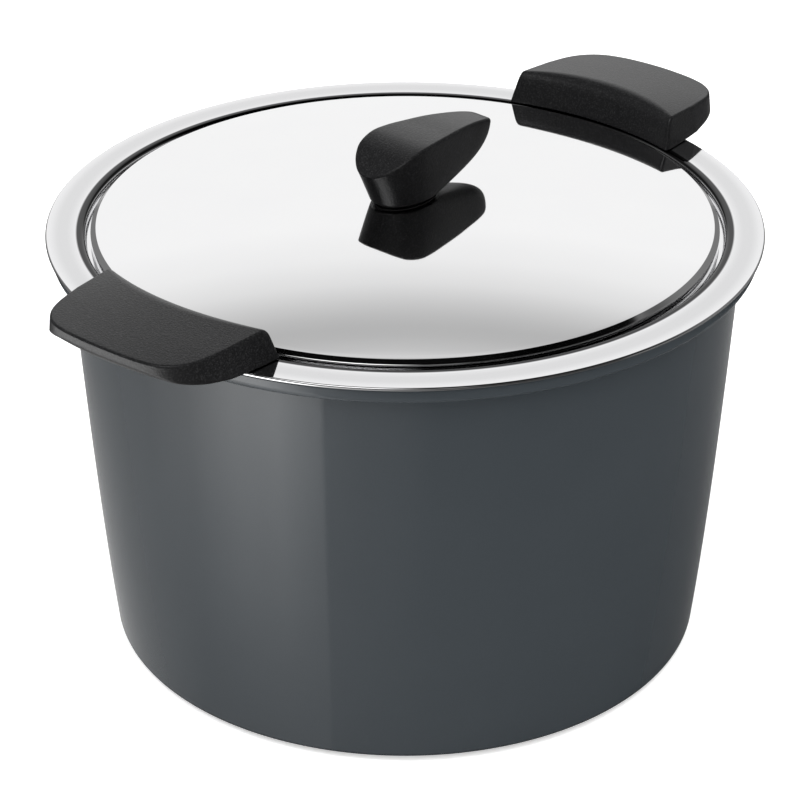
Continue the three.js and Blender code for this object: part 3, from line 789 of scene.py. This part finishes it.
grip_rings, grip_faces = grip_points()
for side, way in (("right", 1), ("left", -1)):
    turn = np.array([way, way, 1])
    lift = np.array([0, 0, rim_top])
    foot_face, top_face = (face * turn + lift for face in grip_faces)
    grip = skinned(
        "grip_" + side, grip_rings * turn + lift, [(foot_face, False), (top_face, True)], phenolic
    )
    bore = turned("bore", [(0, 161), (3.4, 161), (3.4, 171, 0.4), (0, 171)], phenolic, 40)
    cut(grip, fixed("bores", bore, phenolic))
    finish_piece(grip, "pot", "phenolic", "handle_" + side)

# Grip screws, washers and inserts
#
# Steel cap screws with a hexagonal socket enter brass inserts that are moulded into the
# grips; a washer under each head spreads its load on the rim.
plated_steel = brushed_finish(
    "zinc plated steel", "#c9cbcc", "#b5b7b9", grit=6000, low=0.25, high=0.4
)
brass = brushed_finish("turned brass", "#c9a24a", "#b08a38", grit=5000, low=0.25, high=0.4)


def insert_section(bore, outer, low, waist_low, waist_high, high):
    """Section of an insert with a waist that holds it in the resin."""
    return [
        (bore, low, 0.2),
        (outer, low, 0.2),
        (outer, waist_low, 0.1),
        (outer - 0.3, waist_low + 0.2, 0.1),
        (outer - 0.3, waist_high, 0.1),
        (outer, waist_high + 0.2, 0.1),
        (outer, high, 0.2),
        (bore, high, 0.2),
    ]


def washer_section(bore, outer, low, high, inner_round, outer_round):
    """Section of a flat ring."""
    edge = [(outer, low, outer_round), (outer, high, outer_round)]
    return [(bore, low, inner_round), *edge, (bore, high, inner_round)]


def screw_section(shank, head, head_low, head_high, top, pitch):
    """Section of a cap screw that stands on its head."""
    thread = np.arange(head_high + 0.8, top - 0.6, pitch / 6)
    return [
        (0, head_low),
        (head, head_low, 0.35),
        (head, head_high, 0.15),
        (shank, head_high, 0.2),
        *((shank, z) for z in thread),
        (shank - 0.45, top),
        (0, top),
    ]


def socketed(screw, key, low, depth):
    """Sinks a hexagonal socket into the head of a screw."""
    section = [(0, low - 2), (key, low - 2), (key, low + depth), (0, low + depth)]
    cut(screw, turned("key", section, plated_steel, 6))


screw = turned(
    "screw",
    screw_section(shank=1.75, head=3.2, head_low=157.9, head_high=160.3, top=169.5, pitch=0.6),
    plated_steel,
    36,
    thread_radius=0.00175,
    thread_depth=0.0006,
    thread_pitch=0.0006,
)
socketed(screw, key=1.5, low=157.9, depth=1.3)
screws = fixed("grip_screws", screw, plated_steel)
places = ("right_front", "right_back", "left_back", "left_front")
finish_piece(screws, "pot", "satin_steel", *("handle_screw_" + place for place in places))
ring = washer_section(screw_hole, 3.6, low=160.6, high=161.4, inner_round=0.1, outer_round=0.2)
washer = turned("washer", ring, plated_steel, 40, closed=True)
washers = fixed("grip_washers", washer, plated_steel)
finish_piece(washers, "pot", "satin_steel", *("handle_washer_" + place for place in places))
grip_low = rim_top + grip_foot
sleeve = insert_section(screw_hole, 3.1, grip_low, waist_low=165.8, waist_high=168, high=170.7)
insert = turned("insert", sleeve, brass, 40, closed=True)
inserts = fixed("grip_inserts", insert, brass)
finish_piece(inserts, "pot", "insert_brass", *("handle_insert_" + place for place in places))

# Lid
#
# Two skins of stainless steel. The outer one is domed and polished like a mirror, with a
# slanted shoulder round the dome, and its edge is hemmed under the flange of the dished
# inner skin, which is brushed.


def mirror_finish():
    """Mirror-polished steel, with the faint rings that the polishing wheel leaves."""
    made, tree = blank("mirror polished steel")
    place, _, _, section = round_axis(tree)
    # rings drawn 0.4 mm wide, coarse enough to show, and smears of about 25 mm
    rings = put(
        tree, "ShaderNodeTexNoise", {"Vector": section, "Scale": 2500, "Detail": 1}
    ).outputs["Fac"]
    smear = put(tree, "ShaderNodeTexNoise", {"Vector": place, "Scale": 40, "Detail": 4}).outputs["Fac"]
    rough = put(tree, "ShaderNodeMapRange", {"Value": smear, "To Min": 0.02, "To Max": 0.055}).outputs[0]
    lines = put(
        tree, "ShaderNodeBump", {"Height": rings, "Strength": 0.012, "Distance": 0.00002}
    ).outputs[0]
    tone = put(
        tree, "ShaderNodeMix", {0: smear, 6: linear("#efeff0"), 7: linear("#f2f2f2")}, data_type="RGBA"
    ).outputs[2]
    steel = put(
        tree,
        "ShaderNodeBsdfPrincipled",
        {"Base Color": tone, "Metallic": 1, "Roughness": rough, "Normal": lines},
    ).outputs[0]
    put(tree, "ShaderNodeOutputMaterial", {"Surface": steel})
    return made


mirror_steel = mirror_finish()
crown, dome_reach, dome_rise = 172.5, 113.6, 8.3
dome_radius = (dome_reach**2 + dome_rise**2) / (2 * dome_rise)
lid_hole, lid_edge, hem_in, hem_low = 2.35, 115.1, 112, 158.8
skin_out, skin_in = 0.8, 0.6


def dome(radius, thickness=0):
    """Height of the dome at a radius, or that of its underside."""
    return crown - dome_radius + math.sqrt((dome_radius - thickness) ** 2 - radius**2)


def dish(low):
    """The floor of the inner skin, which falls outwards to a height."""
    return [(r, low + 2 * (1 - ((r - 14.4) / 89.2) ** 1.2)) for r in np.linspace(24, 94, 12)]


outside = [(r, dome(r)) for r in np.linspace(112.6, 2.8, 60)]
inside = [(r, dome(r, skin_out)) for r in np.linspace(lid_hole, 111.6, 40)]
lid = turned(
    "lid_outer",
    [
        *inside,
        (lid_edge - skin_out, 162.6, 0.3),
        (lid_edge - skin_out, hem_low + skin_out, 0.3),
        (hem_in, hem_low + skin_out, 0.3),
        (hem_in, hem_low, 0.3),
        (lid_edge, hem_low, 0.7),
        (lid_edge, rim_top, 0.5),
        (113.2, 164.25, 0.3),
        *outside,
        (lid_hole, dome(lid_hole)),
    ],
    mirror_steel,
    segments=320,
    closed=True,
)
finish_piece(lid, "lid", "mirror_steel", "lid_outer_skin")
boss_top, dish_low, flange_low, flange_out = 171.4, 153.3, 159.9, 114
lining = turned(
    "lid_inner",
    [
        (lid_hole, boss_top - skin_in),
        (7.9, boss_top - skin_in, 1.2),
        (14.4, 155.3, 1.5),
        *dish(dish_low),
        (101.2, dish_low, 3),
        (103.6, 154, 2),
        (109, flange_low, 1.2),
        (flange_out, flange_low, 0.25),
        (flange_out, flange_low + skin_in, 0.25),
        (108.4, flange_low + skin_in, 1.2),
        (103, 154 + skin_in, 2),
        (101.2, dish_low + skin_in, 3),
        *reversed(dish(dish_low + skin_in)),
        (15, 155.3 + skin_in, 1.5),
        (8.5, boss_top, 1.2),
        (lid_hole, boss_top),
    ],
    satin_steel,
    segments=256,
    closed=True,
)
finish_piece(lining, "lid", "satin_steel", "lid_inner_skin")

# Knob
#
# A lever of the same phenolic resin as the grips. It rises from an oval foot to a
# leaf-shaped top with a blunt end and a tip, and stands on a thin pad.
knob_turn = math.radians(-4.2)
knob_foot, knob_length, knob_back = 173.8, 65.3, 21
leaf_half_width, leaf_height = 13.3, 23.7
# places along the leaf as shares of its length, with the width and the height there
leaf = [
    (0, 0, 0.61),
    (0.012, 0.3, 0.625),
    (0.045, 0.571, 0.69),
    (0.094, 0.797, 0.79),
    (0.159, 0.947, 0.897),
    (0.258, 1, 0.98),
    (0.364, 0.95, 1),
    (0.5, 0.835, 0.99),
    (0.636, 0.705, 0.971),
    (0.773, 0.56, 0.926),
    (0.879, 0.45, 0.872),
    (0.947, 0.335, 0.815),
    (0.986, 0.155, 0.73),
    (1, 0, 0.68),
]


def leaf_edge(steps):
    """The edge of the leaf, from the blunt end round the tip and back, as a smooth curve."""
    half = np.array(leaf)
    ring = np.vstack([half, half[-2:0:-1] * (1, -1, 1)])
    n = len(ring)
    made = []
    for k in range(n * steps):
        i, s = k // steps, k % steps / steps
        a, b, c, d = (ring[(i + j) % n] for j in (-1, 0, 1, 2))
        second, third = 2 * a - 5 * b + 4 * c - d, 3 * b - a - 3 * c + d
        made.append((2 * b + (c - a) * s + second * s**2 + third * s**3) / 2)
    place, width, height = np.array(made).T
    height = np.minimum(height, 1)
    x, y, z = place * knob_length - knob_back, leaf_half_width * width, leaf_height * height
    return np.stack([x, y, crown + z], 1)


def knob_points():
    """Rings from the oval foot to the rounded edge of the leaf, and the foot and the top."""
    steps = 10
    edge = leaf_edge(steps)
    n = len(edge)
    half = n // 2
    side = np.where(np.arange(n) <= half, 1, -1)
    along = np.where(np.arange(n) <= half, np.arange(n), n - np.arange(n)) / half
    angle = math.pi * (1 - along)
    foot = np.stack([14.9 * np.cos(angle), side * 10.6 * np.sin(angle), np.full(n, knob_foot)], 1)
    swell = np.sin(math.pi / 2 * along) ** 1.4
    out, rise = 0.4 + 0.6 * swell, 0.5 - 0.32 * swell
    mix = np.stack([out, out, rise], 1)
    middle = foot + (edge - foot) * mix

    def level(up):
        return foot * (1 - up) ** 2 + middle * 2 * up * (1 - up) + edge * up * up

    # the rings run clockwise, seen from above, so they are drawn in the other way
    top_in = inset(edge[:, :2], -1.0)
    top_z = np.interp(top_in[:, 0], edge[: half + 1, 0], edge[: half + 1, 2])
    top_ring = np.column_stack([top_in, top_z])
    foot_ring = np.column_stack([inset(foot[:, :2], -0.5), np.full(n, knob_foot)])
    rings = rounded(foot_ring, foot, level(0.025), 4)
    rings += [level(up) for up in np.linspace(0.025, 0.955, 26)[1:-1]]
    rings += rounded(level(0.955), edge, top_ring, 9)
    rows = np.linspace(-1, 1, 17)[None, :, None] * (0, 1, 0) + np.array([1, 0, 1])
    patches = [ring[: half + 1, None] * rows for ring in (foot_ring, top_ring)]
    return np.array(rings)[:, ::-1], patches


def swung(points):
    """Turns the knob's points a little from the line of the grips."""
    c, s = math.cos(knob_turn), math.sin(knob_turn)
    return points @ np.array([[c, s, 0], [-s, c, 0], [0, 0, 1]])


knob_rings, (knob_under, knob_top) = knob_points()
knob = skinned(
    "lever_knob", swung(knob_rings), [(swung(knob_under), True), (swung(knob_top), False)], phenolic
)
knob_bore = turned("bore", [(0, 171), (3.8, 171), (3.8, 183.7, 0.4), (0, 183.7)], phenolic, 40)
cut(knob, knob_bore)
finish_piece(knob, "lid", "phenolic", "knob")

silicone = rubber_finish("dark silicone", "#1d1d1e", "#2a2a2a", grain=2200)
around = np.linspace(0, math.tau, 97)[:-1]
oval = np.stack([np.cos(around), np.sin(around)], 1)
pad_rings = [
    np.column_stack([oval * size, np.full(96, z)])
    for size, z in (
        ((lid_hole, lid_hole), 173.5),
        ((lid_hole, lid_hole), 172.8),
        ((13.15, 8.85), 172.8),
        ((13.33, 9.03), 172.87),
        ((13.4, 9.1), 173.05),
        ((13.4, 9.1), 173.25),
        ((13.33, 9.03), 173.43),
        ((13.15, 8.85), 173.5),
        ((lid_hole, lid_hole), 173.5),
    )
]
pad = skinned("lever_pad", swung(np.array(pad_rings)), [], silicone)
finish_piece(pad, "lid", "seal_rubber", "knob_pad")

# Fixing of the knob
#
# One cap screw comes up through the boss of the inner skin, with a washer and a silicone
# seal under its head, and enters a brass insert in the foot of the knob.
ring = washer_section(lid_hole, 6.6, low=169.3, high=170.5, inner_round=0.3, outer_round=0.5)
seal = turned("lid_gasket", ring, silicone, 64, closed=True)
finish_piece(seal, "lid", "seal_rubber", "lid_seal")
ring = washer_section(lid_hole, 6, low=168, high=169, inner_round=0.15, outer_round=0.3)
plate = turned("lid_washer", ring, plated_steel, 64, closed=True)
finish_piece(plate, "lid", "satin_steel", "knob_washer")
bolt = turned(
    "lid_screw",
    screw_section(shank=2, head=4, head_low=165.1, head_high=167.7, top=182.2, pitch=0.7),
    plated_steel,
    40,
    thread_radius=0.002,
    thread_depth=0.0007,
    thread_pitch=0.0007,
)
socketed(bolt, key=1.5, low=165.1, depth=1.3)
finish_piece(bolt, "lid", "satin_steel", "knob_screw")
sleeve = insert_section(lid_hole, 3.5, knob_foot, waist_low=177, waist_high=180, high=183.4)
nut = turned("lever_insert", sleeve, brass, 40, closed=True)
finish_piece(nut, "lid", "insert_brass", "knob_insert")

# Studio
#
# A plain white floor, a bright even room, and three soft lamps. The shell mirrors the floor,
# so a lit sheet lies on it there, which only reflections show.


def floor_finish():
    """A white floor that keeps the pot's shadow and is dim in reflections."""
    made, tree = blank("white studio floor")
    ray = put(tree, "ShaderNodeLightPath").outputs
    place = put(tree, "ShaderNodeTexCoord").outputs["Object"]
    cloud = put(tree, "ShaderNodeTexNoise", {"Vector": place, "Scale": 3, "Detail": 2}).outputs["Fac"]
    white = put(
        tree, "ShaderNodeMix", {0: cloud, 6: linear("#f2f2f2"), 7: linear("#f4f4f4")}, data_type="RGBA"
    ).outputs[2]
    matt = put(tree, "ShaderNodeBsdfDiffuse", {"Color": white}).outputs[0]
    glow = put(
        tree, "ShaderNodeMath", {0: ray["Is Camera Ray"], 1: 0.5}, operation="MULTIPLY"
    ).outputs[0]
    lit = put(tree, "ShaderNodeEmission", {"Strength": glow}).outputs[0]
    seen = put(tree, "ShaderNodeAddShader", {0: matt, 1: lit}).outputs[0]
    dim = put(tree, "ShaderNodeEmission", {"Strength": 0.05}).outputs[0]
    both = put(tree, "ShaderNodeMixShader", {0: ray["Is Glossy Ray"], 1: seen, 2: dim}).outputs[0]
    put(tree, "ShaderNodeOutputMaterial", {"Surface": both})
    return made


def glow_finish():
    """A lit sheet that glows as strongly as each of its points says."""
    made, tree = blank("lit sheet")
    place = put(tree, "ShaderNodeTexCoord").outputs["Object"]
    cloud = put(tree, "ShaderNodeTexNoise", {"Vector": place, "Scale": 12, "Detail": 1}).outputs["Fac"]
    glow = put(tree, "ShaderNodeAttribute", attribute_name="glow").outputs["Fac"]
    uneven = put(tree, "ShaderNodeMapRange", {"Value": cloud, "To Min": 0.96, "To Max": 1.04}).outputs[0]
    power = put(tree, "ShaderNodeMath", {0: glow, 1: uneven}, operation="MULTIPLY").outputs[0]
    lit = put(tree, "ShaderNodeEmission", {"Strength": power}).outputs[0]
    put(tree, "ShaderNodeOutputMaterial", {"Surface": lit})
    return made


around = np.linspace(0, math.tau, 65)[:-1]
floor_radius, below_feet = 6, 0.0005
wide = [(floor_radius * math.cos(a), floor_radius * math.sin(a), -below_feet) for a in around]
ground = bpy.data.meshes.new("studio_floor")
ground.from_pydata(wide, [], [range(len(wide))])
ground.materials.append(floor_finish())
placed("studio_floor", ground)

# The wall mirrors the floor. At each angle from the way to the camera, a sheet glows by the
# first level beside the pot, by the second one 230 mm out along the mirrored way, and by the
# third one from 290 mm, where only the rim and the grips mirror it; right of the pot the
# sheet is brighter again from 350 mm, for the end of the far grip.
sheet_levels = [
    (-88, 0.5, 0.3, 0.03),
    (-70, 0.5, 0.3, 0.03),
    (-60, 0.45, 0.36, 0.3),
    (-50, 0.4, 0.6, 3.0),
    (-40, 0.33, 1.25, 4.2),
    (-30, 0.42, 2.65, 4.5),
    (-22, 0.5, 3.0, 4.0),
    (-14.3, 0.52, 1.7, 1.2),
    (-13.5, 0.36, 0.7, 1.0),
    (-8, 0.3, 0.48, 0.4),
    (0, 0.22, 0.3, 0.1),
    (5, 0.18, 0.1, 0.06),
    (20, 0.1, 0.05, 0.04),
    (50, 0.05, 0.1, 0.04),
    (68, 0.1, 0.18, 0.03),
    (76, 0.15, 0.25, 0.03),
    (88, 0.2, 0.3, 0.03),
]
sheet_reach, sheet_foot = 0.23, 0.1125
rim_from, far_grip_from = 0.285, 0.345
angles, near_levels, far_levels, last_levels = np.array(sheet_levels).T
walls_at = np.unique(np.concatenate([np.arange(-88, 89, 2.0), angles]))
lengths = np.array([0, 0.015, 0.04, 0.08, 0.13, 0.18, 0.23, 0.28, 0.29, 0.34, 0.35, 0.6])
facing = math.atan2(camera.location.y, camera.location.x)
wall_way, mirrored_way = facing + np.radians(walls_at), facing + np.radians(2 * walls_at)
starts = sheet_foot * np.stack([np.cos(wall_way), np.sin(wall_way)], 1)
ways = np.stack([np.cos(mirrored_way), np.sin(mirrored_way)], 1)
spots = starts[:, None] + ways[:, None] * lengths[None, :, None]
growth = np.minimum(lengths / sheet_reach, 1.15) ** 1.4
near = np.interp(walls_at, angles, near_levels)[:, None]
levels = near + (np.interp(walls_at, angles, far_levels)[:, None] - near) * growth
levels[:, lengths > rim_from] = np.interp(walls_at, angles, last_levels)[:, None]
levels[np.ix_(walls_at > 35, lengths > far_grip_from)] = 0.4
lit = bpy.data.meshes.new("lit_sheet")
corners = [(x, y, 0.0005) for x, y in spots.reshape(-1, 2)]
lit.from_pydata(corners, [], grid(*levels.shape))
lit.attributes.new("glow", "FLOAT", "POINT").data.foreach_set("value", levels.ravel())
lit.materials.append(glow_finish())
lit_sheet = placed("lit_sheet", lit)
lit_sheet.visible_camera = lit_sheet.visible_diffuse = lit_sheet.visible_shadow = False
lit_sheet.visible_transmission = False

room = bpy.data.worlds.new("bright room")
bpy.context.scene.world = room
room.use_nodes = True
air = room.node_tree
air.nodes.clear()
ray = put(air, "ShaderNodeLightPath").outputs
way = put(air, "ShaderNodeTexCoord").outputs["Generated"]
height = put(air, "ShaderNodeSeparateXYZ", {0: way}).outputs["Z"]
walls = put(air, "ShaderNodeValToRGB", {0: height})
ramp = walls.color_ramp
# bright walls, a softly banded ceiling edge and a dark ceiling
stops = (
    (0.0, 1.0),
    (0.48, 1.02),
    (0.545, 0.95),
    (0.588, 0.83),
    (0.62, 0.655),
    (0.64, 0.56),
    (0.655, 0.515),
    (0.668, 0.525),
    (0.687, 0.6),
    (0.697, 0.72),
    (0.71, 0.7),
    (0.725, 0.1),
    (0.74, 0.015),
    (1.0, 0.015),
)
while len(ramp.elements) < len(stops):
    ramp.elements.new(0.5)
for element, (at, level) in zip(ramp.elements, stops):
    element.position = at
    element.color = (level, level, level, 1)
# only the wall beyond the pot is bright; the sides and the wall behind the camera are dim
sideways = (math.sin(facing), -math.cos(facing), 0)
beyond = (-math.cos(facing), -math.sin(facing), 0)
across = put(
    air, "ShaderNodeVectorMath", {0: way, 1: sideways}, operation="DOT_PRODUCT"
).outputs["Value"]
off = put(air, "ShaderNodeMath", {0: across}, operation="ABSOLUTE").outputs[0]
flagged = put(
    air,
    "ShaderNodeMapRange",
    {"Value": off, "From Min": 0.4, "From Max": 0.24, "To Min": 0.2},
    interpolation_type="SMOOTHSTEP",
).outputs[0]
ahead = put(air, "ShaderNodeVectorMath", {0: way, 1: beyond}, operation="DOT_PRODUCT").outputs["Value"]
behind = put(
    air,
    "ShaderNodeMapRange",
    {"Value": ahead, "From Min": 0, "From Max": 0.35, "To Min": 0.2},
    interpolation_type="SMOOTHSTEP",
).outputs[0]
shaded = put(air, "ShaderNodeMath", {0: flagged, 1: behind}, operation="MULTIPLY").outputs[0]
seen_walls = put(
    air, "ShaderNodeVectorMath", {0: walls.outputs[0], "Scale": shaded}, operation="SCALE"
).outputs[0]
# a soft light hangs above the camera, a little to the left
overhead = (0.515 * math.cos(facing - 0.5), 0.515 * math.sin(facing - 0.5), 0.857)
toward = put(
    air, "ShaderNodeVectorMath", {0: way, 1: overhead}, operation="DOT_PRODUCT"
).outputs["Value"]
hung = put(
    air,
    "ShaderNodeMapRange",
    {"Value": toward, "From Min": 0.94, "From Max": 0.99, "To Max": 2.5},
    interpolation_type="SMOOTHSTEP",
).outputs[0]
seen = put(air, "ShaderNodeVectorMath", {0: seen_walls, 1: hung}).outputs[0]
soft = put(
    air, "ShaderNodeMix", {0: ray["Is Glossy Ray"], 6: (0.78, 0.78, 0.78, 1), 7: seen}, data_type="RGBA"
).outputs[2]
straight = put(
    air, "ShaderNodeMath", {0: ray["Is Camera Ray"], 1: ray["Is Transmission Ray"]}, operation="MAXIMUM"
).outputs[0]
whole = put(air, "ShaderNodeMix", {0: straight, 6: soft, 7: (1, 1, 1, 1)}, data_type="RGBA").outputs[2]
sky = put(air, "ShaderNodeBackground", {"Color": whole}).outputs[0]
put(air, "ShaderNodeOutputWorld", {"Surface": sky})

for name, at, size, power in (
    ("lamp_above", (-0.58, -0.48, 1.4), 1.2, 11),
    ("lamp_left", (-0.9, 0.9, 1.3), 0.9, 8),
    ("lamp_right", (0.9, -0.7, 1.4), 0.9, 5),
):
    lamp = bpy.data.lights.new(name, "AREA")
    lamp.shape = "SQUARE"
    lamp.size = size
    lamp.energy = power
    shining = placed(name, lamp)
    shining.location = at
    shining.rotation_euler = (Vector((0, 0, 0.1)) - Vector(at)).to_track_quat("-Z", "Y").to_euler()
    shining.visible_glossy = False

bpy.context.scene.view_settings.view_transform = "Standard"
